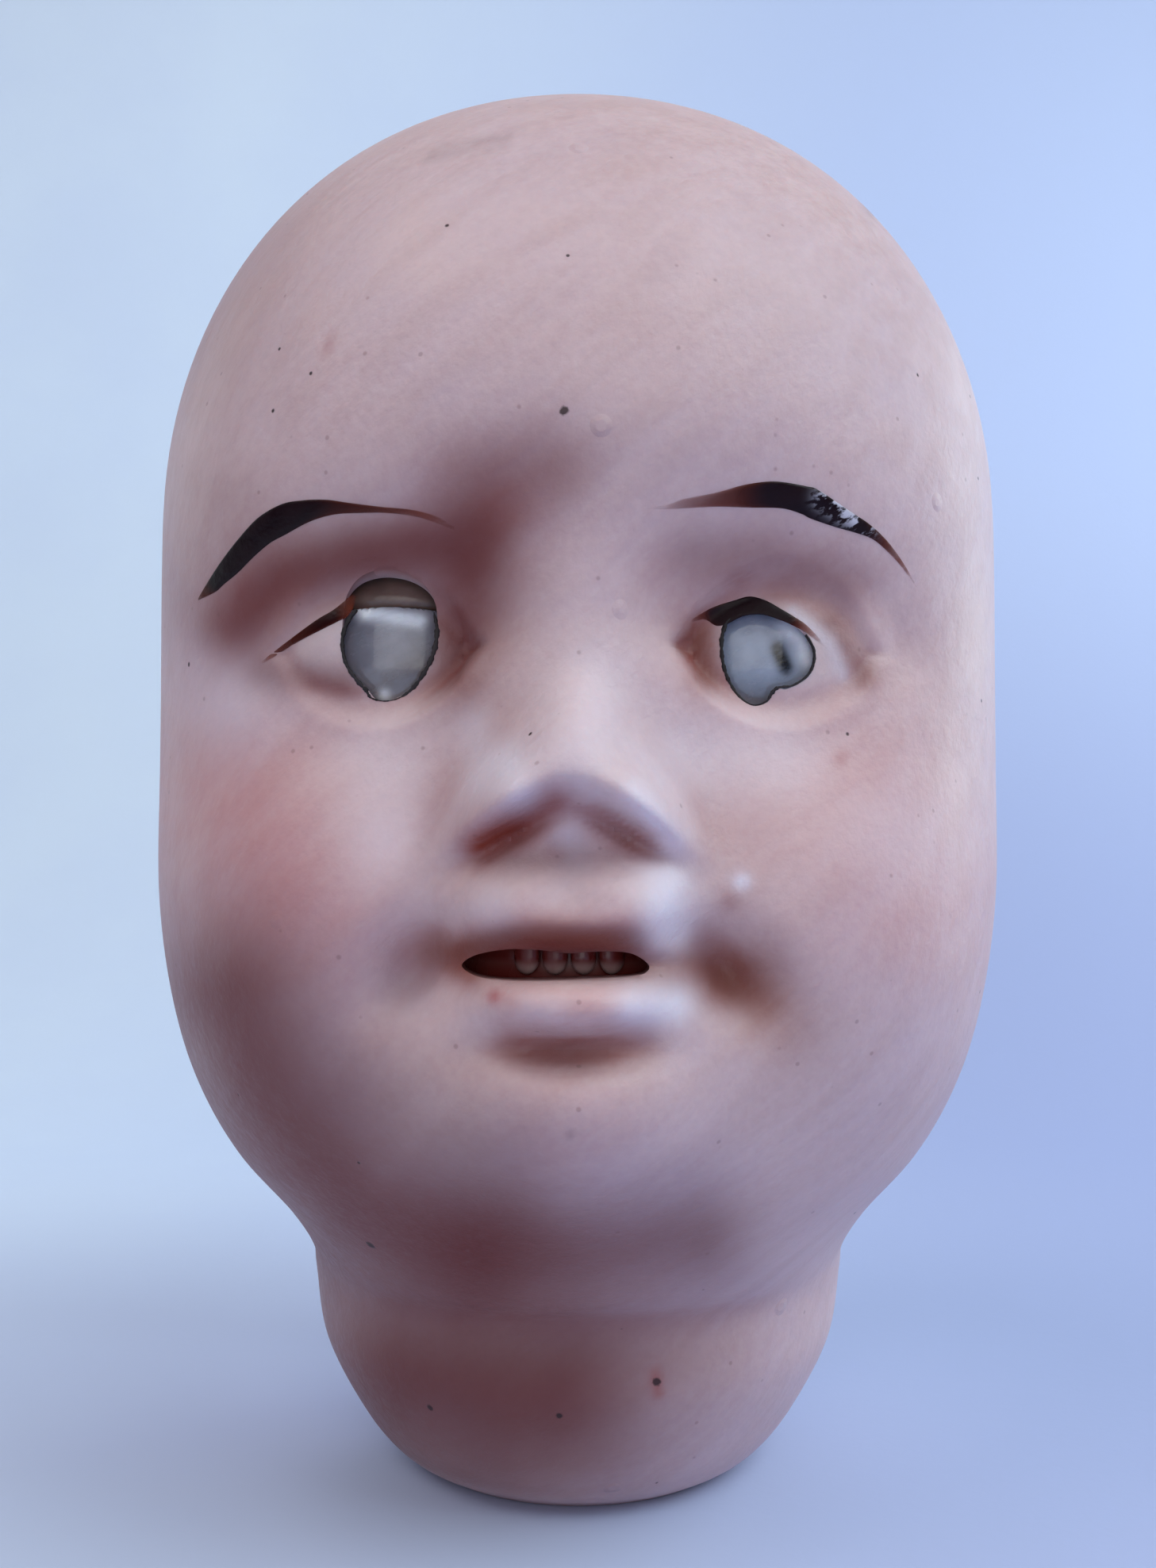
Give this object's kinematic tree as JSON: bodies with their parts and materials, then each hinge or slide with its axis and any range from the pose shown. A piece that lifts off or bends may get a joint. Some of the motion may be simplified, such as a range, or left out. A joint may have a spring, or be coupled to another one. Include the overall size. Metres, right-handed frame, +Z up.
{
  "type": "doll head",
  "caption": "Hollow bisque doll head with sleeping glass eyes on a weighted rocker, a lift-off cork crown lid and a sprung stringing hook in its socket neck.",
  "frame": {"origin": "centre of the head's plan outline, on the plane of the neck rim that it stands on", "axes": "+Z up from the neck rim to the crown, -Y the way the face looks, +X to the doll's left"},
  "size_m": [0.0552, 0.0554, 0.0803],
  "materials": {
    "bisque": "unglazed tinted porcelain, satin, with painted brows, lashes and lips",
    "tooth_glaze": "glossy off-white",
    "eye_glass": "opaque milky blown glass",
    "lid_wax": "tinted wax, satin",
    "plaster": "rough cast plaster",
    "iron_wire": "dull iron with brown oxide",
    "lead": "dull grey cast metal",
    "cork": "granular cork",
    "beech": "turned wood, waxed"
  },
  "bodies": {
    "head": {"head_shell": "bisque", "upper_teeth": "tooth_glaze", "right_socket_pad": "plaster", "left_socket_pad": "plaster", "chin_cork": "cork", "neck_button": "beech"},
    "eyes": {"right_eyeball": "eye_glass", "left_eyeball": "eye_glass", "right_wax_lid": "lid_wax", "left_wax_lid": "lid_wax", "right_eye_plaster": "plaster", "left_eye_plaster": "plaster", "rocker_wire": "iron_wire", "lead_weight": "lead"},
    "pate": {"crown_pate": "cork"},
    "swivel": {"thrust_washer": "iron_wire", "hook_spring": "iron_wire"},
    "hook": {"spring_cap": "iron_wire", "hook_nut": "iron_wire", "neck_hook": "iron_wire"}
  },
  "joints": [
    {"name": "eye_roll", "type": "hinge", "parent": "head", "child": "eyes", "pos_m": [0, -0.01325, 0.0455], "axis": [1, 0, 0], "range_deg": [0, 70]},
    {"name": "pate_lift", "type": "slide", "parent": "head", "child": "pate", "axis": [0, 0.5299, 0.848], "range_m": [0, 0.03]},
    {"name": "hook_turn", "type": "hinge", "parent": "head", "child": "swivel", "pos_m": [0, 0.00415, 0.01], "axis": [0, 0, 1], "continuous": true},
    {"name": "hook_pull", "type": "slide", "parent": "swivel", "child": "hook", "axis": [0, 0, -1], "range_m": [0, 0.0035], "stiffness_N_per_m": 400, "springref_m": -0.004, "deforming": ["hook_spring"]}
  ]
}
